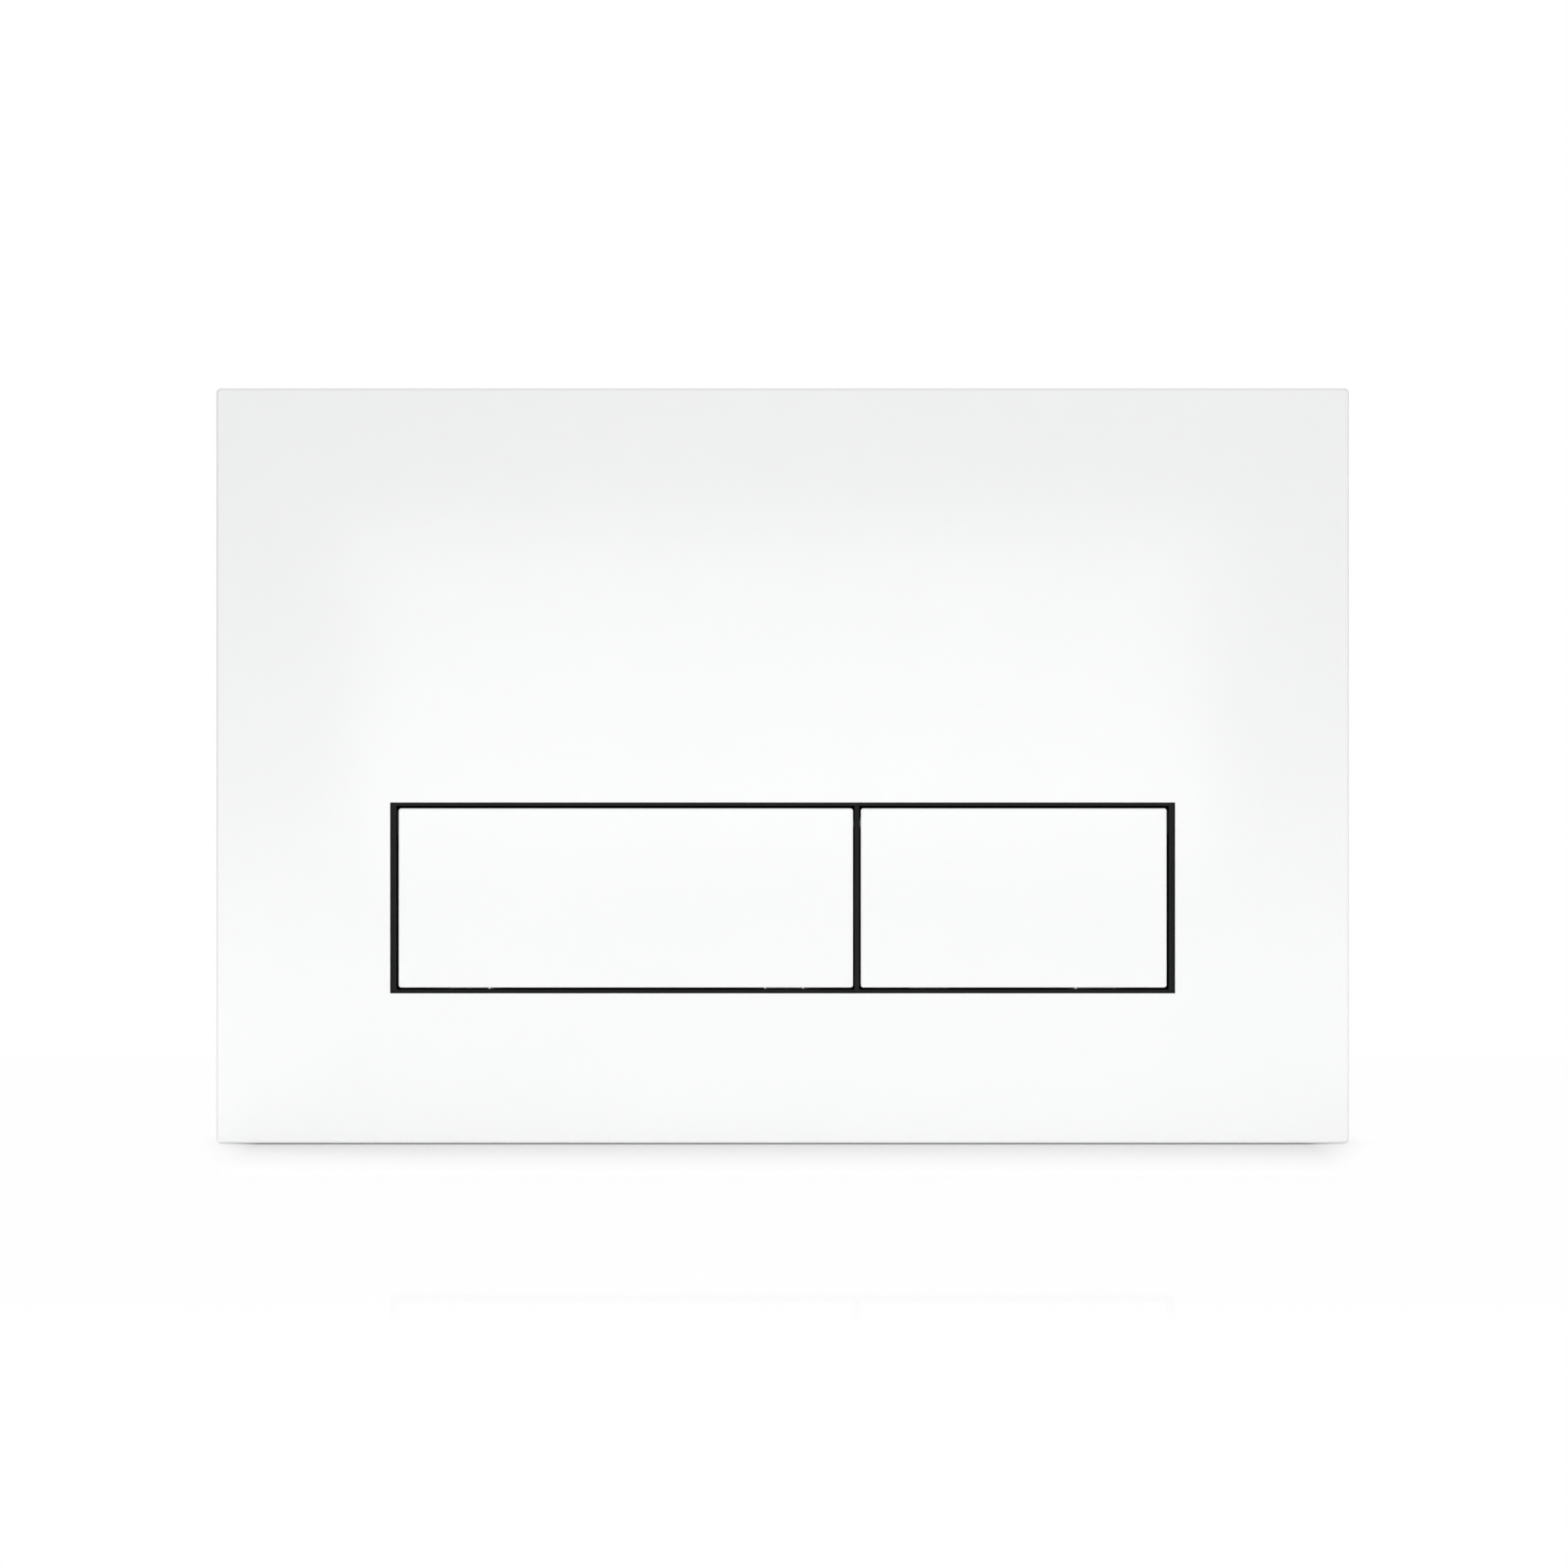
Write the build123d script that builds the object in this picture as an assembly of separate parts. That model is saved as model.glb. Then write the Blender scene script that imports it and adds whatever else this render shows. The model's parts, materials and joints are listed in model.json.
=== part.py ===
from build123d import *
import os
from math import cos, pi, radians, sin

# Flush button plate: a moulded cover with two hinged buttons, the black frame that carries them,
# the mounting frame that holds it all on the wall, and the push rods that reach the flush valve.
# Millimetres, X to the right, Y into the wall, Z up, origin on the wall behind the plate's centre.

# Buttons and the gaps around them, seen from the front
full_button_width = 98.7
half_button_width = 66.45
button_height = 38.96
side_gap = 1.8
middle_gap = 1.65
end_gap = 1.22

# Cover plate
side_margin = 37.8
top_margin = 90.0
bottom_margin = 32.6
plate_depth = 12.0
face_wall = 2.2
side_wall = 2.0
corner_radius = 1.0
edge_radius = 0.7
window_edge_radius = 0.2

# Stiffening ribs and snap hooks inside the cover
cover_rib_wall = 1.2
cover_rib_height = 3.0
cover_rib_pitch = 50.0
cover_rib_count = 4
hook_width = 10.0
hook_wall = 1.8
hook_inset = 6.0
hook_spacing = 130.0
hook_barb = 1.2
hook_flex = 1.5
hook_tip_gap = 0.8
latch_width = 8.0
latch_wall = 1.6
latch_barb = 1.0
latch_barb_length = 1.8
latch_spacing = 120.0

# Button mouldings
button_wall = 2.0
skirt_wall = 1.4
skirt_depth = 6.5
button_corner_radius = 0.6
button_edge_radius = 0.4
hub_radius = 2.6
hub_length = 4.0
button_rib_wall = 1.2
button_rib_height = 2.5
rib_axle_gap = 1.6
nose_radius = 4.0
nose_wall = 2.4
nose_depth = 10.5
nose_rib_width = 10.0
post_width = 4.4
post_wall = 1.2
post_height = 2.5
catch_width = 8.0
catch_inset = 15.0
catch_length = 4.0
catch_barb = 1.6
catch_barb_length = 1.8

# Hinge and travel of the buttons
axle_radius = 1.25
axle_depth = 4.0
axle_drop = 3.2
axle_overhang = 0.6
press_angle = 12.0

# Black button frame
running_gap = 0.5
divider_gap = 0.3
window_clearance = 0.1
lip_recess = 0.6
frame_wall = 2.0
frame_corner_radius = 2.0
floor_wall = 2.0
ledge_width = 10.0
ledge_reach = 2.0
ledge_height = 4.0
floor_window_width = 22.0
floor_window_height = 10.0
floor_window_pitch = 66.0
buffer_width = 8.0
buffer_length = 4.0
buffer_height = 1.0
buffer_inset = 25.0

# Return springs
spring_drop = 12.0
spring_mean_radius = 3.4
spring_wire = 0.7
spring_turns = 3.0
spring_turn_sections = 14

# Push rods with their caps and lock nuts
rod_spacing = 68.0
rod_drop = 24.0
rod_radius = 3.0
rod_reach = 40.0
cap_radius = 5.0
cap_length = 9.0
cap_socket = 7.0
nut_across_flats = 10.0
nut_height = 4.0

# Mounting frame
mount_clearance = 3.0
mount_corner_radius = 4.0
web_depth = 5.0
web_wall = 2.5
mount_wall = 2.0
inner_wall_gap = 1.0
bay_clearance = 4.0
bay_corner_radius = 3.0
cross_bar = 9.0
top_bar = 17.0
mount_rib_wall = 1.6
mount_rib_pitch = 24.0
strap_width = 18.0
strap_wall = 3.0
strap_bend = 3.0
strap_rib_height = 2.4
strap_rib_wall = 1.6
guide_radius = 5.5
guide_length = 12.0

# Fixing bolts
bolt_margin = 7.8
bolt_radius = 4.0
bolt_head_radius = 7.0
bolt_head_height = 3.0
bolt_slot_width = 1.6
bolt_slot_depth = 1.5
bolt_reach = 60.0

# Clearances of the fits
snug_clearance = 0.02
press_gap = 0.3
axle_clearance = 0.05
thrust_clearance = 0.15
catch_clearance = 0.3
rod_clearance = 0.08
thread_clearance = 0.05
hole_clearance = 1.2
slip_clearance = 0.2
stop_clearance = 0.3
spring_end_gap = 0.05
floor_clearance = 1.0

# How close to a plane an edge counts as lying in it
plane_tolerance = 0.001

# The window and the whole plate, worked out from the buttons
window_width = full_button_width + half_button_width + middle_gap + 2 * side_gap
window_height = button_height + 2 * end_gap
plate_width = window_width + 2 * side_margin
plate_height = window_height + top_margin + bottom_margin
half_width = plate_width / 2
half_height = plate_height / 2
window_left = -window_width / 2
window_right = window_width / 2
window_bottom = bottom_margin - half_height
window_top = window_bottom + window_height
face_front = -plate_depth
face_back = face_front + face_wall

# Outlines and depths of the two buttons
full_left = window_left + side_gap
full_right = full_left + full_button_width
half_left = full_right + middle_gap
half_right = half_left + half_button_width
button_bottom = window_bottom + end_gap
button_top = button_bottom + button_height
button_back = face_front + button_wall
button_rib_back = button_back + button_rib_height
skirt_back = face_front + skirt_depth
nose_back = face_front + nose_depth
nose_centre = nose_back - nose_radius
catch_back = skirt_back + catch_length
barb_front = catch_back - catch_barb_length

# The hinge, the pressed skirt and the floor that stops it
axle_y = face_front + axle_depth
axle_z = button_top - axle_drop
press = radians(press_angle)
swing = axle_z - button_bottom
pressed_skirt = axle_y + (skirt_depth - axle_depth) * cos(press) + swing * sin(press)
buffer_front = pressed_skirt + stop_clearance
floor_front = buffer_front + buffer_height
floor_back = floor_front + floor_wall

# Inside and outside of the black button frame
cavity_left = full_left - running_gap
cavity_right = half_right + running_gap
cavity_bottom = button_bottom - running_gap
cavity_top = button_top + running_gap
frame_left = cavity_left - frame_wall
frame_right = cavity_right + frame_wall
frame_bottom = cavity_bottom - frame_wall
frame_top = cavity_top + frame_wall
divider_left = full_right + divider_gap
divider_right = half_left - divider_gap
lip_front = face_front + lip_recess
ledge_back = face_back + ledge_height
axle_left = frame_left - axle_overhang
axle_right = frame_right + axle_overhang

# The push rods, with room for the travel that the tilting nose gives them
rod_z = axle_z - rod_drop
spring_z = axle_z - spring_drop
full_rod_x = -rod_spacing / 2
half_rod_x = rod_spacing / 2
cap_front = nose_back + press_gap
cap_back = cap_front + cap_length
nut_back = cap_back + nut_height
rod_travel = rod_drop * press
guide_front = nut_back + rod_travel + floor_clearance
guide_back = guide_front + guide_length
strap_back = guide_front + strap_wall
strap_rib_back = strap_back + strap_rib_height
rod_front = cap_back - cap_socket
rod_back = guide_back + rod_reach

# What the pressed noses and catches sweep through in the floor of the button frame
opening_half = max(nose_rib_width / 2, cap_radius) + floor_clearance
pressed_nose = axle_z + (nose_centre - axle_y) * sin(press) - rod_drop * cos(press)
opening_top = max(pressed_nose + nose_radius, rod_z + cap_radius) + floor_clearance
opening_bottom = rod_z - opening_half
pressed_catch = axle_z + (catch_back - axle_y) * sin(press) - (swing - skirt_wall) * cos(press)
notch_top = pressed_catch + floor_clearance
notch_front = barb_front - slip_clearance
notch_half = catch_width / 2 + catch_clearance

# Outline, bay, vent and bolt places of the mounting frame
mount_half_width = half_width - side_wall - mount_clearance
mount_half_height = half_height - side_wall - mount_clearance
web_front = -web_depth
web_back = web_front + web_wall
bay_half_width = axle_right + bay_clearance
latch_reach = ledge_reach + slip_clearance + latch_wall
bay_bottom = frame_bottom - latch_reach - bay_clearance
bay_top = frame_top + latch_reach + bay_clearance
vent_bottom = bay_top + cross_bar
vent_top = mount_half_height - top_bar
bolt_x = bay_half_width + bolt_margin
hook_z = mount_half_height - hook_inset

# Places of what repeats
catch_places = [
    full_left + catch_inset,
    full_right - catch_inset,
    half_left + catch_inset,
    half_right - catch_inset,
]
buffer_places = [
    full_left + buffer_inset,
    full_right - buffer_inset,
    half_left + buffer_inset,
    half_right - buffer_inset,
]
latch_places = [
    (side * latch_spacing / 2, edge, way)
    for side in (-1, 1)
    for edge, way in ((frame_top, 1), (frame_bottom, -1))
]
hook_places = [(side * hook_spacing / 2, way) for side in (-1, 1) for way in (-1, 1)]
rod_places = [full_rod_x, half_rod_x]
bolt_places = [-bolt_x, bolt_x]


def rect(left, right, bottom, top):
    """Rectangle on the front plane, given by its edges."""
    return Pos((left + right) / 2, (bottom + top) / 2) * Rectangle(right - left, top - bottom)


def rounded_rect(left, right, bottom, top, radius):
    """Rectangle with round corners on the front plane, given by its edges."""
    middle = Pos((left + right) / 2, (bottom + top) / 2)
    return middle * RectangleRounded(right - left, top - bottom, radius)


def prism(sketch, y_front, y_back):
    """A front-plane sketch carried from one depth to another."""
    return extrude(Plane.XZ.offset(-y_back) * sketch, amount=y_back - y_front)


def rod(x, z, radius, y_front, y_back):
    """Round bar along Y."""
    return prism(Pos(x, z) * Circle(radius), y_front, y_back)


def cross_rod(y, z, radius, x_left, x_right):
    """Round bar along X."""
    return extrude(Plane.YZ.offset(x_left) * Pos(y, z) * Circle(radius), amount=x_right - x_left)


def side_prism(points, x_left, x_right):
    """Side-view outline of (Y, Z) points carried along X."""
    outline = Plane.YZ.offset(x_left) * Polygon(*points, align=None)
    return extrude(outline, amount=x_right - x_left, dir=(1, 0, 0))


def edges_at(shape, y):
    """Edges that lie in one plane parallel to the front."""
    return shape.edges().filter_by_position(Axis.Y, y - plane_tolerance, y + plane_tolerance)


def crossed_ribs(x, z, width, wall, y_front, y_back):
    """Two thin ribs that cross at their middles."""
    upright = rect(x - wall / 2, x + wall / 2, z - width / 2, z + width / 2)
    level = rect(x - width / 2, x + width / 2, z - wall / 2, z + wall / 2)
    return prism(upright + level, y_front, y_back)


def snap_hook(x, way):
    """Cantilever hook that latches behind the web of the mounting frame."""
    latch = web_back + slip_clearance
    outline = [
        (face_back, way * (hook_z - hook_wall)),
        (face_back, way * hook_z),
        (latch, way * hook_z),
        (latch, way * (hook_z + hook_barb)),
        (-hook_tip_gap, way * hook_z),
        (-hook_tip_gap, way * (hook_z - hook_wall)),
    ]
    return side_prism(outline, x - hook_width / 2, x + hook_width / 2)


def frame_latch(x, edge, way):
    """Cantilever latch that holds one of the button frame's ledges against the cover."""
    near = edge + way * (ledge_reach + slip_clearance)
    far = near + way * latch_wall
    grip = ledge_back + slip_clearance
    outline = [
        (face_back, near),
        (grip, near),
        (grip, near - way * latch_barb),
        (grip + latch_barb_length, near),
        (grip + latch_barb_length, far),
        (face_back, far),
    ]
    return side_prism(outline, x - latch_width / 2, x + latch_width / 2)


def cover_ribs():
    """Upright ribs above the window and the cross rib that ties their feet together."""
    rib_back = face_back + cover_rib_height
    half_wall = cover_rib_wall / 2
    end = (cover_rib_count - 1) / 2 * cover_rib_pitch
    ribs = [prism(rect(-end, end, vent_bottom - half_wall, vent_bottom + half_wall), face_back, rib_back)]
    for count in range(cover_rib_count):
        x = count * cover_rib_pitch - end
        ribs.append(prism(rect(x - half_wall, x + half_wall, vent_bottom, vent_top), face_back, rib_back))
    return ribs


def make_cover_plate():
    """White front shell with the button window, open towards the wall."""
    shell = prism(RectangleRounded(plate_width, plate_height, corner_radius), face_front, 0)
    shell = fillet(edges_at(shell, face_front), edge_radius)
    shell -= prism(Rectangle(plate_width - 2 * side_wall, plate_height - 2 * side_wall), face_back, 0)
    shell -= prism(rect(window_left, window_right, window_bottom, window_top), face_front, face_back)
    front = shell.faces().sort_by(Axis.Y)[0]
    shell = shell.fillet(window_edge_radius, front.inner_wires()[0].edges())
    for rib in cover_ribs():
        shell += rib
    for x, way in hook_places:
        shell += snap_hook(x, way)
    for x, edge, way in latch_places:
        shell += frame_latch(x, edge, way)
    return shell


def press_nose(x):
    """Round-ended rib behind a button that presses on a rod's cap, with a rib across it."""
    finger = Plane.YZ * (
        Pos(nose_centre, rod_z) * Circle(nose_radius)
        + Pos((button_back + nose_centre) / 2, rod_z) * Rectangle(nose_centre - button_back, 2 * nose_radius)
    )
    nose = Pos(x - nose_wall / 2, 0, 0) * extrude(finger, amount=nose_wall, dir=(1, 0, 0))
    half_rib = nose_rib_width / 2
    half_wall = button_rib_wall / 2
    return nose + prism(
        rect(x - half_rib, x + half_rib, rod_z - half_wall, rod_z + half_wall), button_back, nose_centre
    )


def button_catch(x):
    """Tongue on the lower skirt whose barb stops the button's return in the frame's notch."""
    outline = [
        (button_back, button_bottom + skirt_wall),
        (button_back, button_bottom),
        (barb_front, button_bottom),
        (barb_front, button_bottom - catch_barb),
        (catch_back, button_bottom),
        (catch_back, button_bottom + skirt_wall),
    ]
    return side_prism(outline, x - catch_width / 2, x + catch_width / 2)


def button_ribs(left, right, rod_x):
    """Level rib at the rod's height, and upright ribs below the spring and half-way to each side."""
    half_wall = button_rib_wall / 2
    foot = button_bottom + skirt_wall
    head = axle_z - axle_radius - rib_axle_gap
    spring_foot = spring_z - spring_mean_radius - spring_wire / 2 - rib_axle_gap
    level = rect(left + skirt_wall, right - skirt_wall, rod_z - half_wall, rod_z + half_wall)
    ribs = [prism(level, button_back, button_rib_back)]
    for x, top in (((left + rod_x) / 2, head), (rod_x, spring_foot), ((right + rod_x) / 2, head)):
        ribs.append(prism(rect(x - half_wall, x + half_wall, foot, top), button_back, button_rib_back))
    return ribs


def make_button(left, right, rod_x):
    """Moulded button cap with skirts, hinge hubs, press nose, spring post and catches."""
    outline = rounded_rect(left, right, button_bottom, button_top, button_corner_radius)
    cap = prism(outline, face_front, skirt_back)
    cap = fillet(edges_at(cap, face_front), button_edge_radius)
    inner = rect(left + skirt_wall, right - skirt_wall, button_bottom + skirt_wall, button_top - skirt_wall)
    cap -= prism(inner, button_back, skirt_back)
    cap -= prism(rect(left, right, axle_z, button_top), axle_y, skirt_back)
    for x in (left, right - hub_length):
        cap += cross_rod(axle_y, axle_z, hub_radius, x, x + hub_length)
    for rib in button_ribs(left, right, rod_x):
        cap += rib
    cap += crossed_ribs(rod_x, spring_z, post_width, post_wall, button_back, button_back + post_height)
    for x in catch_places:
        if left < x < right:
            cap += button_catch(x)
    cap += press_nose(rod_x)
    return cap - cross_rod(axle_y, axle_z, axle_radius + axle_clearance, left, right)


def frame_ledge(x, edge, way):
    """Block on the upper or lower wall of the button frame that a latch of the cover holds."""
    far = edge + way * ledge_reach
    block = rect(x - ledge_width / 2, x + ledge_width / 2, min(edge, far), max(edge, far))
    return prism(block, face_back, ledge_back)


def floor_cuts():
    """Openings in the button frame's floor: for the noses, for the catches and to save material."""
    half = floor_window_width / 2
    cuts = []
    for x in rod_places:
        cuts.append(rect(x - opening_half, x + opening_half, opening_bottom, opening_top))
    for x in (-floor_window_pitch, 0, floor_window_pitch):
        cuts.append(rect(x - half, x + half, spring_z - floor_window_height, spring_z))
    for x in catch_places:
        cuts.append(rect(x - notch_half, x + notch_half, frame_bottom, notch_top))
    return [prism(cut, floor_front, floor_back) for cut in cuts]


def thrust_pads():
    """Blocks round the axle, on the side walls and the divider, that the buttons' ends run against."""
    pads = []
    for left, right in (
        (cavity_left, full_left - thrust_clearance),
        (full_right + thrust_clearance, half_left - thrust_clearance),
        (half_right + thrust_clearance, cavity_right),
    ):
        outline = rect(left, right, axle_z - hub_radius, axle_z + hub_radius)
        pads.append(prism(outline, axle_y - hub_radius, axle_y + hub_radius))
    return pads


def make_button_frame():
    """Black box behind the window: lip, divider, floor with spring posts, ledges, pads and axle bores."""
    cavity = rect(cavity_left, cavity_right, cavity_bottom, cavity_top)
    lip = rect(
        window_left + window_clearance,
        window_right - window_clearance,
        window_bottom + window_clearance,
        window_top - window_clearance,
    )
    box = rounded_rect(frame_left, frame_right, frame_bottom, frame_top, frame_corner_radius)
    frame = prism(lip, lip_front, face_back) + prism(box, face_back, floor_back)
    frame -= prism(cavity, lip_front, floor_front)
    frame += prism(rect(divider_left, divider_right, cavity_bottom, cavity_top), lip_front, floor_front)
    for pad in thrust_pads():
        frame += pad
    for cut in floor_cuts():
        frame -= cut
    for x in catch_places:
        notch = rect(x - notch_half, x + notch_half, frame_bottom, cavity_bottom)
        frame -= prism(notch, notch_front, floor_back)
    for x in rod_places:
        frame += crossed_ribs(x, spring_z, post_width, post_wall, floor_front - post_height, floor_front)
    for x, edge, way in latch_places:
        frame += frame_ledge(x, edge, way)
    return frame - cross_rod(axle_y, axle_z, axle_radius + snug_clearance, frame_left, frame_right)


def make_hinge_axle():
    """Steel rod pressed into the button frame, which both buttons turn on."""
    return cross_rod(axle_y, axle_z, axle_radius, axle_left, axle_right)


def make_stop_buffers():
    """Soft pads on the floor of the button frame that the pressed skirts come down on."""
    pads = []
    for x in buffer_places:
        half = buffer_width / 2
        pad = rect(x - half, x + half, cavity_bottom, cavity_bottom + buffer_length)
        pads.append(prism(pad, buffer_front, floor_front))
    return Compound(children=pads)


def make_spring(x):
    """Compression spring between the frame's floor and the back of a button."""
    start = button_back + spring_end_gap + spring_wire / 2
    end = floor_front - spring_end_gap - spring_wire / 2
    rise = (end - start) / (2 * pi * spring_turns)
    steps = round(spring_turns * spring_turn_sections)
    sections = []
    for step in range(steps + 1):
        turn = 2 * pi * spring_turns * step / steps
        outward = Vector(cos(turn), 0, sin(turn))
        along = Vector(-sin(turn) * spring_mean_radius, rise, cos(turn) * spring_mean_radius)
        centre = Vector(x, start + rise * turn, spring_z) + outward * spring_mean_radius
        sections.append(Plane(centre, x_dir=outward, z_dir=along) * Rectangle(spring_wire, spring_wire))
    return loft(sections, ruled=True)


def strap_ribs(left, right):
    """Two ribs along the edges of a bridge's back, with sloped ends."""
    top = bay_top - strap_bend
    bottom = bay_bottom + strap_bend
    outline = [
        (guide_front, top),
        (strap_back, top),
        (strap_rib_back, top - strap_rib_height),
        (strap_rib_back, bottom + strap_rib_height),
        (strap_back, bottom),
        (guide_front, bottom),
    ]
    return [side_prism(outline, x, x + strap_rib_wall) for x in (left, right - strap_rib_wall)]


def rod_strap(x):
    """Ribbed bridge behind the bay that carries one push rod's guide tube."""
    left = x - strap_width / 2
    right = x + strap_width / 2
    outline = [
        (web_front, bay_top),
        (web_front, bay_top + strap_wall),
        (strap_back, bay_top + strap_wall),
        (strap_back, bay_bottom - strap_wall),
        (web_front, bay_bottom - strap_wall),
        (web_front, bay_bottom),
        (guide_front, bay_bottom),
        (guide_front, bay_top),
    ]
    strap = side_prism(outline, left, right)
    strap = fillet(edges_at(strap.edges().filter_by(Axis.X), guide_front), strap_bend)
    strap = fillet(edges_at(strap.edges().filter_by(Axis.X), strap_back), strap_bend + strap_wall)
    for rib in strap_ribs(left, right):
        strap += rib
    return strap + rod(x, rod_z, guide_radius, guide_front, guide_back)


def mount_ribs():
    """Cross ribs in the two side bars, above and below the bolts."""
    ribs = []
    inner = bay_half_width + mount_wall
    outer = mount_half_width - mount_wall
    half_wall = mount_rib_wall / 2
    for z in (-2 * mount_rib_pitch, -mount_rib_pitch, mount_rib_pitch, 2 * mount_rib_pitch):
        for left, right in ((inner, outer), (-outer, -inner)):
            ribs.append(prism(rect(left, right, z - half_wall, z + half_wall), web_back, -inner_wall_gap))
    return ribs


def make_mounting_frame():
    """Channel-section frame on the wall, with bay, vent, hook slots, bolt holes and rod guides."""
    width = 2 * mount_half_width
    height = 2 * mount_half_height
    inner = 2 * mount_wall
    frame = prism(RectangleRounded(width, height, mount_corner_radius), web_front, 0)
    frame -= prism(Rectangle(width - inner, height - inner), web_back, 0)
    for bottom, top in ((bay_bottom, bay_top), (vent_bottom, vent_top)):
        half = bay_half_width
        ring = rect(-half - mount_wall, half + mount_wall, bottom - mount_wall, top + mount_wall)
        opening = rounded_rect(-half, half, bottom, top, bay_corner_radius)
        frame += prism(ring, web_back, -inner_wall_gap)
        frame -= prism(opening, web_front, -inner_wall_gap)
    for rib in mount_ribs():
        frame += rib
    for x in rod_places:
        frame += rod_strap(x)
        frame -= rod(x, rod_z, rod_radius + rod_clearance, guide_front, guide_back)
    for x, way in hook_places:
        half = hook_width / 2 + slip_clearance
        near = way * (hook_z - hook_wall - hook_flex)
        far = way * (hook_z + slip_clearance)
        frame -= prism(rect(x - half, x + half, min(near, far), max(near, far)), web_front, web_back)
    for x in bolt_places:
        frame -= rod(x, 0, bolt_radius + hole_clearance, web_front, web_back)
    return frame


def make_fixing_bolts():
    """Slotted bolts that reach back into the cistern's frame."""
    bolts = []
    head_front = web_front - bolt_head_height
    for x in bolt_places:
        bolt = rod(x, 0, bolt_radius, web_front, bolt_reach)
        bolt += rod(x, 0, bolt_head_radius, head_front, web_front)
        slot = rect(x - bolt_slot_width / 2, x + bolt_slot_width / 2, -bolt_head_radius, bolt_head_radius)
        bolts.append(bolt - prism(slot, head_front, head_front + bolt_slot_depth))
    return Compound(children=bolts)


def make_push_rod(x):
    """Threaded rod from the cap's socket through the guide to the flush valve's lever."""
    return rod(x, rod_z, rod_radius, rod_front, rod_back)


def make_rod_cap(x):
    """Flat-faced cap that the button's nose slides on as it tilts."""
    cap = rod(x, rod_z, cap_radius, cap_front, cap_back)
    return cap - rod(x, rod_z, rod_radius + thread_clearance, rod_front, cap_back)


def make_lock_nut(x):
    """Hexagon nut that locks the cap on its rod."""
    hexagon = RegularPolygon(nut_across_flats / 2, 6, major_radius=False)
    outline = Pos(x, rod_z) * (hexagon - Circle(rod_radius + thread_clearance))
    return prism(outline, cap_back, nut_back)


def main():
    """Make every piece and write each to a STEP file of its own."""
    pieces = {
        "cover_plate": make_cover_plate(),
        "button_frame": make_button_frame(),
        "full_flush_button": make_button(full_left, full_right, full_rod_x),
        "half_flush_button": make_button(half_left, half_right, half_rod_x),
        "hinge_axle": make_hinge_axle(),
        "stop_buffers": make_stop_buffers(),
        "mounting_frame": make_mounting_frame(),
        "fixing_bolts": make_fixing_bolts(),
    }
    for flush, x in (("full_flush", full_rod_x), ("half_flush", half_rod_x)):
        pieces[flush + "_spring"] = make_spring(x)
        pieces[flush + "_push_rod"] = make_push_rod(x)
        pieces[flush + "_rod_cap"] = make_rod_cap(x)
        pieces[flush + "_lock_nut"] = make_lock_nut(x)
    os.makedirs("parts", exist_ok=True)
    for name, piece in pieces.items():
        export_step(piece, f"parts/{name}.step")


if __name__ == "__main__":
    main()
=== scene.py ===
import json
from math import cos, floor, pi, radians, sin, tan

import bmesh
import bpy
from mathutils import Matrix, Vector


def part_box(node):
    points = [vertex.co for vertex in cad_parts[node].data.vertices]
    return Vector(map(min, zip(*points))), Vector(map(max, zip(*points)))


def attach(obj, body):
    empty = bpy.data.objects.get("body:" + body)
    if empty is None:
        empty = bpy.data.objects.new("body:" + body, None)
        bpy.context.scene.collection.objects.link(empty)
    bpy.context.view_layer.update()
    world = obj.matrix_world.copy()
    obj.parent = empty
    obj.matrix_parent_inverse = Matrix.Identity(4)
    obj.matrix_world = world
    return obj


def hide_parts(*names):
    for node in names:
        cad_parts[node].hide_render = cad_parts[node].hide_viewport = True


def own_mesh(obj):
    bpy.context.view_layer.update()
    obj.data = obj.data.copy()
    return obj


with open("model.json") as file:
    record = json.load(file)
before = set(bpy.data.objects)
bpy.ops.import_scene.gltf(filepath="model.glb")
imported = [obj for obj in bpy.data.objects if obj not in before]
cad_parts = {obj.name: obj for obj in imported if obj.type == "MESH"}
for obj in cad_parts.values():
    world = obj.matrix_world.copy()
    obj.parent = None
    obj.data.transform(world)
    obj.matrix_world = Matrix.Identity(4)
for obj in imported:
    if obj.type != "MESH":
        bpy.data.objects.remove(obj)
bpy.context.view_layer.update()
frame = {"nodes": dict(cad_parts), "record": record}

# Flush button plate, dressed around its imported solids. Metres, X to the right, Y into the wall, Z up.
mm = 0.001

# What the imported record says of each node, and of the bolts
record = frame["record"]
body_of = {node: body for body, nodes in record["behaviour"]["bodies"].items() for node in nodes}
mount_dims = {mount["name"]: mount["dims"] for mount in record["mounts"]}

# Edges of the inner mouldings, which are a little round on the real ones
edge_round = {
    "button_frame": 0.12 * mm,
    "mounting_frame": 0.25 * mm,
    "stop_buffers": 0.3 * mm,
}
edge_angle = radians(35)
edge_segments = 2
edge_profile = 0.5
smooth_angle = radians(32)
flat_angle = radians(0.5)
weld_distance = 0.002 * mm
sliver_width = 0.0005 * mm

# Turned forms, which close on their axis with a very small ring
round_segments = 40
axis_radius = 0.05 * mm

# Threads: rows of points in a turn, turns that each end takes to run out, and the form of the ridge
thread_rows = 8
thread_runout = 1.5
thread_slope = 1.6
thread_flat = 0.3

# Fixing bolts
bolt_radius = mount_dims["fixing_bolts"]["stud_r_mm"] * mm
bolt_pitch = 2.0 * mm
bolt_thread_depth = 0.55 * mm
bolt_head_height = 3.0 * mm
bolt_head_round = 0.9 * mm
bolt_rim_steps = 6
bolt_slot_width = 1.6 * mm
bolt_slot_depth = 1.5 * mm
slot_cutter_margin = 1.0 * mm
shank_overlap = 1.0 * mm

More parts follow.
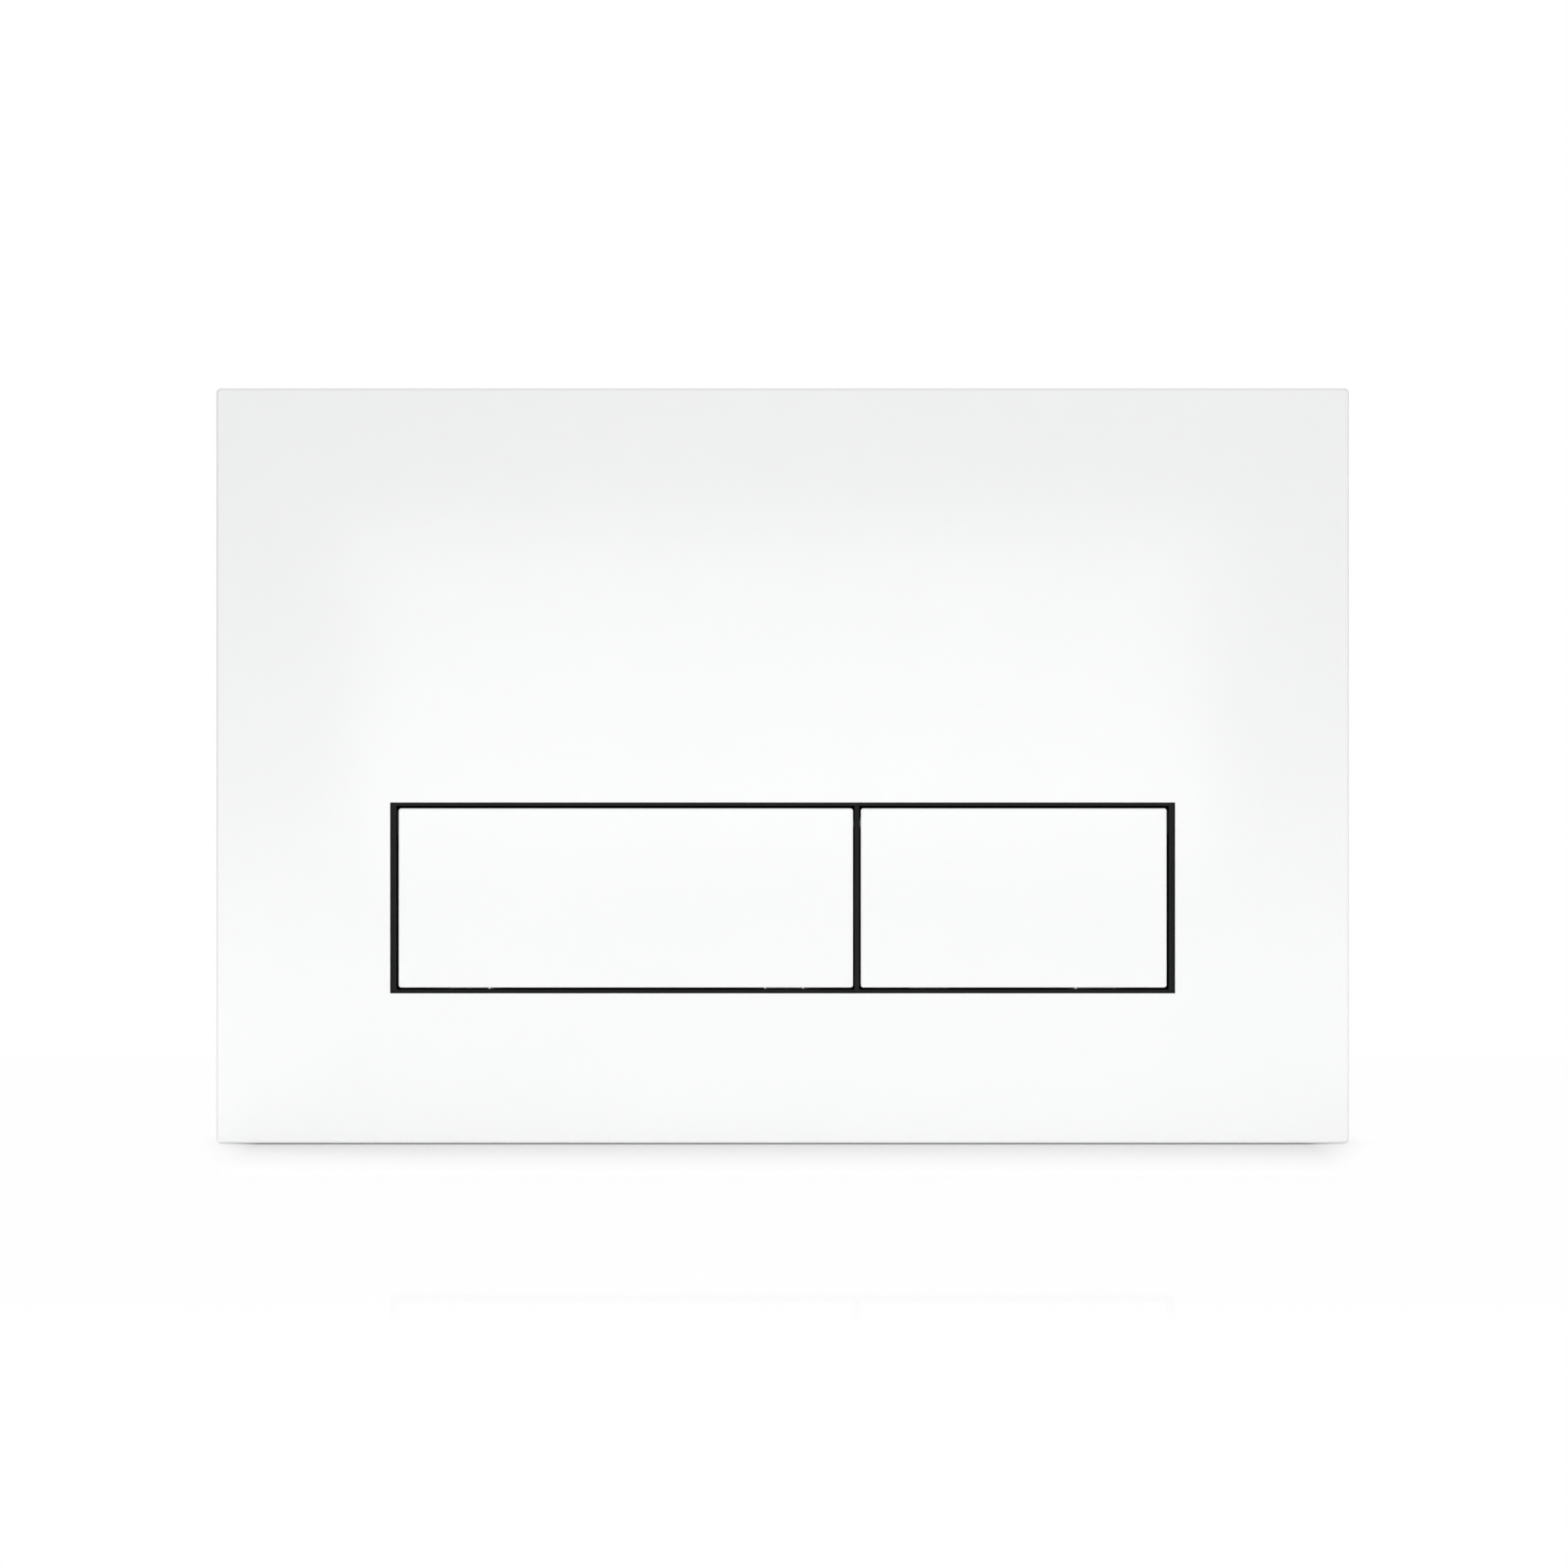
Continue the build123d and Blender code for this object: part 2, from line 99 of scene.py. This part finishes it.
# Push rods with their caps and lock nuts
rod_pitch = 1.5 * mm
rod_thread_depth = 0.35 * mm
socket_clearance = 0.05 * mm
cap_flutes = 24
cap_flute_steps = 6
cap_flute_depth = 0.25 * mm
cap_chamfer = 0.5 * mm
nut_columns = 72
nut_chamfer_angle = radians(30)
nut_rim_inset = 0.15 * mm

# Return springs and the hinge axle
spring_turns = 3.0
spring_wire = 0.7 * mm
spring_turn_steps = 48
spring_wire_segments = 14
spring_closed_turns = 0.3
axle_chamfer = 0.25 * mm

# Each finish drifts between two close shades
white_shades = ((0.862, 0.866, 0.87), (0.878, 0.881, 0.883))
black_shades = ((0.005, 0.005, 0.0055), (0.008, 0.008, 0.0085))
grey_shades = ((0.37, 0.38, 0.39), (0.43, 0.44, 0.45))
steel_shades = ((0.5, 0.5, 0.49), (0.66, 0.66, 0.65))
wire_shades = ((0.42, 0.42, 0.42), (0.56, 0.56, 0.56))
rubber_shades = ((0.028, 0.028, 0.028), (0.05, 0.05, 0.05))
bolt_shades = ((0.7, 0.68, 0.62), (0.77, 0.75, 0.7))
rod_shades = ((0.74, 0.74, 0.72), (0.8, 0.8, 0.78))
cap_shades = ((0.018, 0.018, 0.018), (0.03, 0.03, 0.031))
black_specular = 0.15

# Sockets of a colour mix, by number because their names aren't unique
mix_factor = 0
mix_first = 6
mix_second = 7
mix_result = 2

# Camera, set so that the plate fills the same part of a square frame as in the photograph
photo_size = 1932
plate_left_px = 266.2
plate_right_px = 1662.4
plate_top_px = 478.1
camera_distance = 1.1
sensor_width = 36.0

# Lamps and the light all round
plain_white = (1, 1, 1, 1)
white_strength = 1.0
ambient_strength = 0.4
lamps = {
    "back_lamp": {
        "size": (0.9, 0.9),
        "power": 6.0,
        "place": (-0.2, 0.55, 0.75),
        "aim": (0, 0, 0),
        "mirrored": False,
    },
    "front_lamp": {
        "size": (1.6, 1.2),
        "power": 9.2,
        "place": (0.2, -1.3, 0.3),
        "aim": (0, 0, 0),
        "mirrored": False,
    },
    "softbox": {
        "size": (0.26, 0.1),
        "power": 0.132,
        "place": (0, -0.45, 0.023),
        "aim": (0, 0, 0.023),
        "mirrored": True,
    },
    "low_lamp": {
        "size": (0.5, 0.01),
        "power": 0.049,
        "place": (0, -0.1, -0.075),
        "aim": (0, 0, -0.075),
        "mirrored": False,
    },
}

# Table. The spans are distances from its middle over which gloss and the painted shade fade out. Near the
# plate the matt floor shows its real shadow, and a mask grades it into plain white, which paints the
# shade's falloff and its cut-off sides.
floor_half = 4.0
floor_gap = 0.22 * mm
floor_colour = (0.93, 0.93, 0.93, 1)
floor_gloss = 0.04
floor_roughness = 0.025
gloss_span = (0.335, 0.38)
painted_shade_across_span = (0.115, 0.133)
painted_shade_across_falloff = 2.0
painted_shade_along_span = (0.006, 0.16)
painted_shade_along_falloff = 4.0
painted_shade_narrowing = 0.2


def link(obj):
    """Put a new object in the scene."""
    bpy.context.scene.collection.objects.link(obj)
    return obj


def shade(mesh):
    """Smooth faces that stay sharp at hard edges."""
    mesh.polygons.foreach_set("use_smooth", [True] * len(mesh.polygons))
    mesh.set_sharp_from_angle(angle=smooth_angle)


def paint(mesh, material):
    """Give a mesh its one finish."""
    mesh.materials.clear()
    mesh.materials.append(material)


def mesh_object(name, points, faces):
    """A mesh from points and faces, with its normals outwards."""
    mesh = bpy.data.meshes.new(name)
    mesh.from_pydata(points, [], faces)
    form = bmesh.new()
    form.from_mesh(mesh)
    bmesh.ops.recalc_face_normals(form, faces=form.faces)
    form.to_mesh(mesh)
    form.free()
    shade(mesh)
    return link(bpy.data.objects.new(name, mesh))


def box_object(name, low, high):
    """Plain box between two corners."""
    corners = [(x, y, z) for x in (low[0], high[0]) for y in (low[1], high[1]) for z in (low[2], high[2])]
    faces = [(0, 1, 3, 2), (4, 6, 7, 5), (0, 4, 5, 1), (2, 3, 7, 6), (0, 2, 6, 4), (1, 5, 7, 3)]
    return mesh_object(name, corners, faces)


def circle(columns):
    """Angles of evenly spaced columns."""
    return [2 * pi * column / columns for column in range(columns)]


def ring_faces(rows, columns, closed):
    """Quads of rings in a row. The last ring joins the first if closed, and otherwise both get a cap."""
    faces = []
    for row in range(rows if closed else rows - 1):
        here = row * columns
        above = (row + 1) % rows * columns
        for column in range(columns):
            beside = (column + 1) % columns
            faces.append((here + column, here + beside, above + beside, above + column))
    if not closed:
        last = (rows - 1) * columns
        faces.append(tuple(range(columns)))
        faces.append(tuple(range(last, last + columns)))
    return faces


def turned(name, place, columns, section, closed=False):
    """Rings about an axis along Y. section(angle) lists (radius, y) along the surface."""
    angles = circle(columns)
    sections = [section(angle) for angle in angles]
    rows = len(sections[0])
    points = []
    for row in range(rows):
        for angle, line in zip(angles, sections):
            radius, y = line[row]
            points.append((place.x + radius * cos(angle), y, place.z + radius * sin(angle)))
    return mesh_object(name, points, ring_faces(rows, columns, closed))


def thread_height(angle, y, pitch):
    """Height of a thread with flat crests and roots, from 0 at the root to 1 at the crest."""
    turn = y / pitch - angle / (2 * pi)
    share = turn - floor(turn)
    return min(1.0, max(0.0, thread_slope * (1 - abs(2 * share - 1)) - thread_flat))


def thread_line(angle, y_start, y_end, radius, pitch, depth):
    """(radius, y) along a threaded bar at one angle. The thread runs out at both ends."""
    steps = round((y_end - y_start) / pitch * thread_rows)
    runout = thread_runout * pitch
    line = []
    for step in range(steps + 1):
        y = y_start + (y_end - y_start) * step / steps
        share = min(1.0, (y - y_start) / runout, (y_end - y) / runout)
        line.append((radius - depth * (1 - thread_height(angle, y, pitch) * share), y))
    return line


def join(name, parts):
    """Several meshes made into one."""
    bpy.ops.object.select_all(action="DESELECT")
    for part in parts:
        part.select_set(True)
    bpy.context.view_layer.objects.active = parts[0]
    bpy.ops.object.join()
    parts[0].name = name
    parts[0].data.name = name
    return parts[0]


def cut(piece, cutter):
    """Take one mesh out of another for good."""
    modifier = piece.modifiers.new("cut", "BOOLEAN")
    modifier.object = cutter
    modifier.solver = "EXACT"
    bpy.context.view_layer.objects.active = piece
    bpy.ops.object.modifier_apply(modifier=modifier.name)
    bpy.data.objects.remove(cutter)
    shade(piece.data)
    return piece


def fit(piece, node, material):
    """Let a piece stand for a node, on the node's body and with the node's finish."""
    paint(piece.data, material)
    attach(piece, body_of[node])
    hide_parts(node)
    return piece


def rounded_copy(node, material):
    """A copy of a moulded solid whose sharp edges are rounded a little."""
    name = node + "_moulding"
    form = bmesh.new()
    form.from_mesh(frame["nodes"][node].data)
    bmesh.ops.remove_doubles(form, verts=form.verts, dist=weld_distance)
    bmesh.ops.dissolve_limit(form, angle_limit=flat_angle, verts=form.verts, edges=form.edges)
    sharp = [edge for edge in form.edges if edge.is_manifold and edge.calc_face_angle() > edge_angle]
    bmesh.ops.bevel(
        form,
        geom=sharp,
        offset=edge_round[node],
        segments=edge_segments,
        profile=edge_profile,
        affect="EDGES",
        clamp_overlap=True,
    )
    bmesh.ops.dissolve_degenerate(form, dist=sliver_width, edges=form.edges)
    mesh = bpy.data.meshes.new(name)
    form.to_mesh(mesh)
    form.free()
    shade(mesh)
    return fit(link(bpy.data.objects.new(name, mesh)), node, material)


def bolt_head(place, front, back, radius):
    """Cheese head with a rounded rim and a screwdriver slot."""
    turns = [step * pi / 2 / (bolt_rim_steps - 1) for step in range(bolt_rim_steps)]
    rim = [
        (radius - bolt_head_round * (1 - sin(turn)), front + bolt_head_round * (1 - cos(turn)))
        for turn in turns
    ]
    line = [(axis_radius, front)] + rim + [(radius, back), (axis_radius, back)]
    head = turned("bolt_head", place, round_segments, lambda angle: line)
    half_width = bolt_slot_width / 2
    half_length = 2 * radius
    slot = box_object(
        "bolt_slot",
        (place.x - half_width, front - slot_cutter_margin, place.z - half_length),
        (place.x + half_width, front + bolt_slot_depth, place.z + half_length),
    )
    return cut(head, slot)


def make_bolts(material):
    """Slotted bolts with a coarse moulded thread."""
    low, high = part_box("fixing_bolts")
    radius = (high.z - low.z) / 2
    back = low.y + bolt_head_height

    def shank(angle):
        return thread_line(angle, back - shank_overlap, high.y, bolt_radius, bolt_pitch, bolt_thread_depth)

    parts = []
    for x in (low.x + radius, high.x - radius):
        place = Vector((x, 0, (low.z + high.z) / 2))
        parts.append(bolt_head(place, low.y, back, radius))
        parts.append(turned("bolt_shank", place, round_segments, shank))
    return fit(join("fixing_bolts_threaded", parts), "fixing_bolts", material)


def make_rod(node, material):
    """Push rod with a coarse thread along its length."""
    low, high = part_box(node)
    radius = (high.x - low.x) / 2

    def line(angle):
        return thread_line(angle, low.y, high.y, radius, rod_pitch, rod_thread_depth)

    rod = turned(node + "_threaded", (low + high) / 2, round_segments, line)
    return fit(rod, node, material)


def make_cap(node, rod_node, material):
    """Cap with a fluted grip and chamfered ends, and the socket that the rod sits in."""
    low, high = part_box(node)
    rod_low, rod_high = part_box(rod_node)
    bore = (rod_high.x - rod_low.x) / 2 + socket_clearance
    radius = (high.x - low.x) / 2
    rim = radius - cap_chamfer

    def line(angle):
        grip = radius - cap_flute_depth * (1 - cos(cap_flutes * angle)) / 2
        return [
            (axis_radius, low.y),
            (rim, low.y),
            (grip, low.y + cap_chamfer),
            (grip, high.y - cap_chamfer),
            (rim, high.y),
            (bore, high.y),
            (bore, rod_low.y),
            (axis_radius, rod_low.y),
        ]

    cap = turned(node + "_fluted", (low + high) / 2, cap_flutes * cap_flute_steps, line)
    return fit(cap, node, material)


def make_nut(node, rod_node, material):
    """Hexagon nut with chamfered corners."""
    low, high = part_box(node)
    rod_low, rod_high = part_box(rod_node)
    bore = (rod_high.x - rod_low.x) / 2 + socket_clearance
    flat = (high.z - low.z) / 2
    rim = flat - nut_rim_inset

    def line(angle):
        corner = flat / cos(angle % (pi / 3) - pi / 6)
        chamfer = (corner - rim) * tan(nut_chamfer_angle)
        return [
            (bore, low.y),
            (rim, low.y),
            (corner, low.y + chamfer),
            (corner, high.y - chamfer),
            (rim, high.y),
            (bore, high.y),
        ]

    nut = turned(node + "_chamfered", (low + high) / 2, nut_columns, line, closed=True)
    return fit(nut, node, material)


def make_axle(material):
    """Steel rod along X with chamfered ends."""
    low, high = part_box("hinge_axle")
    middle = (low + high) / 2
    radius = (high.z - low.z) / 2
    line = [
        (low.x, radius - axle_chamfer),
        (low.x + axle_chamfer, radius),
        (high.x - axle_chamfer, radius),
        (high.x, radius - axle_chamfer),
    ]
    points = []
    for x, size in line:
        for angle in circle(round_segments):
            points.append((x, middle.y + size * cos(angle), middle.z + size * sin(angle)))
    axle = mesh_object("hinge_axle_chamfered", points, ring_faces(len(line), round_segments, False))
    return fit(axle, "hinge_axle", material)


def make_spring(node, material):
    """Round-wire compression spring that the button shortens as it is pressed."""
    low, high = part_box(node)
    middle = (low + high) / 2
    wire = spring_wire / 2
    mean = (high.x - low.x) / 2 - wire
    start = low.y + wire
    rise = high.y - low.y - spring_wire
    steps = round(spring_turns * spring_turn_steps)
    closed = spring_closed_turns / spring_turns
    centres = []
    for step in range(steps + 1):
        share = step / steps
        angle = 2 * pi * spring_turns * share
        climb = min(1.0, max(0.0, (share - closed) / (1 - 2 * closed)))
        centres.append(
            Vector((middle.x + mean * cos(angle), start + rise * climb, middle.z + mean * sin(angle)))
        )
    points = []
    for step, centre in enumerate(centres):
        along = (centres[min(step + 1, steps)] - centres[max(step - 1, 0)]).normalized()
        outward = Vector((centre.x - middle.x, 0, centre.z - middle.z)).normalized()
        across = along.cross(outward)
        for angle in circle(spring_wire_segments):
            points.append(centre + wire * (cos(angle) * outward + sin(angle) * across))
    spring = mesh_object(node + "_coil", points, ring_faces(steps + 1, spring_wire_segments, False))
    fit(spring, node, material)
    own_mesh(spring)
    return spring


def new_material(name):
    """Material with its node tree and its shader."""
    material = bpy.data.materials.new(name)
    material.use_nodes = True
    return material, material.node_tree, material.node_tree.nodes["Principled BSDF"]


def noise(tree, scale, detail=3.0, stretch=(1, 1, 1)):
    """Noise in the object's own space, with scale in cells a metre."""
    place = tree.nodes.new("ShaderNodeTexCoord")
    mapping = tree.nodes.new("ShaderNodeMapping")
    mapping.inputs["Scale"].default_value = stretch
    texture = tree.nodes.new("ShaderNodeTexNoise")
    texture.inputs["Scale"].default_value = scale
    texture.inputs["Detail"].default_value = detail
    tree.links.new(place.outputs["Object"], mapping.inputs["Vector"])
    tree.links.new(mapping.outputs["Vector"], texture.inputs["Vector"])
    return texture.outputs["Fac"]


def tint(tree, shader, factor, shades):
    """Base colour that drifts between two close shades."""
    first, second = shades
    mix = tree.nodes.new("ShaderNodeMix")
    mix.data_type = "RGBA"
    mix.inputs[mix_first].default_value = (*first, 1)
    mix.inputs[mix_second].default_value = (*second, 1)
    tree.links.new(factor, mix.inputs[mix_factor])
    tree.links.new(mix.outputs[mix_result], shader.inputs["Base Color"])


def vary_roughness(tree, shader, factor, low, high):
    """Roughness that drifts between two values."""
    span = tree.nodes.new("ShaderNodeMapRange")
    span.inputs["To Min"].default_value = low
    span.inputs["To Max"].default_value = high
    tree.links.new(factor, span.inputs["Value"])
    tree.links.new(span.outputs["Result"], shader.inputs["Roughness"])


def add_bump(tree, shader, factor, height, strength=1.0):
    """Fine relief of a given height."""
    bump = tree.nodes.new("ShaderNodeBump")
    bump.inputs["Strength"].default_value = strength
    bump.inputs["Distance"].default_value = height
    tree.links.new(factor, bump.inputs["Height"])
    tree.links.new(bump.outputs["Normal"], shader.inputs["Normal"])


def white_gloss():
    """Polished white moulding with the faint long waves that such flats have."""
    material, tree, shader = new_material("white_gloss")
    tint(tree, shader, noise(tree, scale=45), white_shades)
    vary_roughness(tree, shader, noise(tree, scale=120), low=0.1, high=0.15)
    add_bump(tree, shader, noise(tree, scale=90, detail=1.0), height=0.01 * mm, strength=0.6)
    return material


def black_satin():
    """Black moulding with a fine spark-eroded grain."""
    material, tree, shader = new_material("black_satin")
    shader.inputs["Specular IOR Level"].default_value = black_specular
    tint(tree, shader, noise(tree, scale=300), black_shades)
    vary_roughness(tree, shader, noise(tree, scale=700), low=0.38, high=0.5)
    add_bump(tree, shader, noise(tree, scale=2600), height=0.02 * mm)
    return material


def frame_grey():
    """Grey moulding with a matt grain and a slight flow mottle."""
    material, tree, shader = new_material("frame_grey")
    tint(tree, shader, noise(tree, scale=35, detail=5.0), grey_shades)
    vary_roughness(tree, shader, noise(tree, scale=400), low=0.48, high=0.62)
    add_bump(tree, shader, noise(tree, scale=2200), height=0.035 * mm)
    return material


def drawn_steel():
    """Steel rod with drawing lines along it."""
    material, tree, shader = new_material("drawn_steel")
    shader.inputs["Metallic"].default_value = 1.0
    lines = noise(tree, scale=3000, detail=2.0, stretch=(0.01, 1, 1))
    tint(tree, shader, lines, steel_shades)
    vary_roughness(tree, shader, lines, low=0.22, high=0.38)
    add_bump(tree, shader, lines, height=0.004 * mm)
    return material


def spring_steel():
    """Bright wire with faint die marks."""
    material, tree, shader = new_material("spring_steel")
    shader.inputs["Metallic"].default_value = 1.0
    tint(tree, shader, noise(tree, scale=900), wire_shades)
    vary_roughness(tree, shader, noise(tree, scale=1500), low=0.2, high=0.34)
    add_bump(tree, shader, noise(tree, scale=5000), height=0.003 * mm)
    return material


def soft_rubber():
    """Dull black elastomer."""
    material, tree, shader = new_material("soft_rubber")
    tint(tree, shader, noise(tree, scale=800), rubber_shades)
    vary_roughness(tree, shader, noise(tree, scale=900), low=0.72, high=0.88)
    add_bump(tree, shader, noise(tree, scale=4000), height=0.02 * mm)
    return material


def natural_plastic(name, shades):
    """Uncoloured nylon or acetal, waxy and a little cloudy."""
    material, tree, shader = new_material(name)
    tint(tree, shader, noise(tree, scale=160, detail=4.0), shades)
    vary_roughness(tree, shader, noise(tree, scale=500), low=0.32, high=0.46)
    add_bump(tree, shader, noise(tree, scale=1800), height=0.008 * mm)
    return material


def cap_black():
    """Black acetal with a soft sheen."""
    material, tree, shader = new_material("cap_black")
    tint(tree, shader, noise(tree, scale=400), cap_shades)
    vary_roughness(tree, shader, noise(tree, scale=800), low=0.3, high=0.42)
    add_bump(tree, shader, noise(tree, scale=3500), height=0.008 * mm)
    return material


def dress():
    """Every visible piece of the plate."""
    white = white_gloss()
    black = cap_black()
    rod_white = natural_plastic("rod_white", rod_shades)
    wire = spring_steel()
    for node in ("cover_plate", "full_flush_button", "half_flush_button"):
        paint(frame["nodes"][node].data, white)
    rounded_copy("button_frame", black_satin())
    rounded_copy("mounting_frame", frame_grey())
    rounded_copy("stop_buffers", soft_rubber())
    make_axle(drawn_steel())
    make_bolts(natural_plastic("bolt_white", bolt_shades))
    for flush in ("full_flush", "half_flush"):
        rod = flush + "_push_rod"
        make_rod(rod, rod_white)
        make_cap(flush + "_rod_cap", rod, black)
        make_nut(flush + "_lock_nut", rod, black)
        make_spring(flush + "_spring", wire)


def calculate(tree, operation, *values, clamp=False):
    """Result of a math node. Each value is a number or another node's output."""
    node = tree.nodes.new("ShaderNodeMath")
    node.operation = operation
    node.use_clamp = clamp
    for socket, value in zip(node.inputs, values):
        if isinstance(value, bpy.types.NodeSocket):
            tree.links.new(value, socket)
        else:
            socket.default_value = value
    return node.outputs["Value"]


def mix_shaders(tree, share, first, second):
    """The first shader where share is 0, and the second where it is 1."""
    mix = tree.nodes.new("ShaderNodeMixShader")
    for socket, value in zip(mix.inputs, (share, first, second)):
        tree.links.new(value, socket)
    return mix.outputs["Shader"]


def seen_directly(tree):
    """1 for camera, mirror and see-through rays, and 0 for the rays that carry light."""
    rays = tree.nodes.new("ShaderNodeLightPath").outputs
    mirrored = calculate(tree, "ADD", rays["Is Camera Ray"], rays["Is Glossy Ray"], clamp=True)
    return calculate(tree, "ADD", mirrored, rays["Is Transmission Ray"], clamp=True)


def fade(tree, distance, span, falloff=1.0):
    """1 up to the span's start, and 0 past its end. A falloff over 1 is steeper at first."""
    step = tree.nodes.new("ShaderNodeMapRange")
    step.inputs["From Min"].default_value, step.inputs["From Max"].default_value = span
    step.inputs["To Min"].default_value = 1.0
    step.inputs["To Max"].default_value = 0.0
    tree.links.new(distance, step.inputs["Value"])
    return calculate(tree, "POWER", step.outputs["Result"], falloff)


def background(tree, strength):
    """Even white all round."""
    node = tree.nodes.new("ShaderNodeBackground")
    node.inputs["Color"].default_value = plain_white
    node.inputs["Strength"].default_value = strength
    return node.outputs["Background"]


def make_world():
    """White to look at, and a plain soft level of light."""
    world = bpy.data.worlds.new("studio")
    bpy.context.scene.world = world
    world.use_nodes = True
    tree = world.node_tree
    tree.nodes.clear()
    light = background(tree, ambient_strength)
    white = background(tree, white_strength)
    out = tree.nodes.new("ShaderNodeOutputWorld")
    tree.links.new(mix_shaders(tree, seen_directly(tree), light, white), out.inputs["Surface"])


def floor_material():
    """White table with a trace of gloss. Near the plate its matt surface shows the real shadow, and a mask
    grades it into the same white as the background, which paints the shade's falloff and its sides.
    """
    material, tree, shader = new_material("table_white")
    tree.nodes.remove(shader)
    matt = tree.nodes.new("ShaderNodeBsdfDiffuse")
    matt.inputs["Color"].default_value = floor_colour
    white = tree.nodes.new("ShaderNodeEmission")
    white.inputs["Color"].default_value = plain_white
    white.inputs["Strength"].default_value = white_strength
    gloss = tree.nodes.new("ShaderNodeBsdfGlossy")
    gloss.inputs["Roughness"].default_value = floor_roughness
    place = tree.nodes.new("ShaderNodeTexCoord")
    parts = tree.nodes.new("ShaderNodeSeparateXYZ")
    tree.links.new(place.outputs["Object"], parts.inputs["Vector"])
    beside = calculate(tree, "ABSOLUTE", parts.outputs["X"])
    depth = calculate(tree, "ABSOLUTE", parts.outputs["Y"])
    # Painted shade: a mask that narrows away from the plate grades the lit matt floor into plain white, so
    # the shade's falloff and its cut-off sides are painted, while the matt part keeps the real shadow.
    reach = calculate(tree, "MULTIPLY_ADD", depth, painted_shade_narrowing, beside)
    across = fade(tree, reach, painted_shade_across_span, painted_shade_across_falloff)
    along = fade(tree, depth, painted_shade_along_span, painted_shade_along_falloff)
    painted_shade_mask = calculate(tree, "MINIMUM", across, along, clamp=True)
    plain = calculate(tree, "SUBTRACT", seen_directly(tree), painted_shade_mask, clamp=True)
    ground = mix_shaders(tree, plain, matt.outputs["BSDF"], white.outputs["Emission"])
    polish = calculate(tree, "MULTIPLY", fade(tree, depth, gloss_span), floor_gloss)
    surface = mix_shaders(tree, polish, ground, gloss.outputs["BSDF"])
    tree.links.new(surface, tree.nodes["Material Output"].inputs["Surface"])
    return material


def make_floor():
    """Table under the plate, whose rounded lower edge leaves a dark line along it."""
    side = floor_half
    corners = [(-side, -side, 0), (side, -side, 0), (side, side, 0), (-side, side, 0)]
    table = mesh_object("table", corners, [(0, 1, 2, 3)])
    table.location.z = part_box("cover_plate")[0].z - floor_gap
    paint(table.data, floor_material())


def make_lamps():
    """Soft lamps that light the part and aren't seen themselves."""
    for name, values in lamps.items():
        data = bpy.data.lights.new(name, "AREA")
        data.shape = "RECTANGLE"
        data.size, data.size_y = values["size"]
        data.energy = values["power"]
        lamp = link(bpy.data.objects.new(name, data))
        place = Vector(values["place"])
        lamp.location = place
        lamp.rotation_euler = (Vector(values["aim"]) - place).to_track_quat("-Z", "Y").to_euler()
        lamp.visible_camera = False
        lamp.visible_glossy = values["mirrored"]


def make_camera():
    """Camera straight in front of the plate, with the photograph's framing."""
    low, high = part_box("cover_plate")
    pixel = (high.x - low.x) / (plate_right_px - plate_left_px)
    middle_px = photo_size / 2
    x = low.x + (middle_px - plate_left_px) * pixel
    z = high.z - (middle_px - plate_top_px) * pixel
    data = bpy.data.cameras.new("camera")
    data.sensor_width = sensor_width
    data.lens = sensor_width * camera_distance / (photo_size * pixel)
    camera = link(bpy.data.objects.new("camera", data))
    camera.location = (x, low.y - camera_distance, z)
    camera.rotation_euler = (pi / 2, 0, 0)
    bpy.context.scene.camera = camera


dress()
make_world()
make_floor()
make_lamps()
make_camera()
bpy.context.scene.view_settings.view_transform = "Standard"
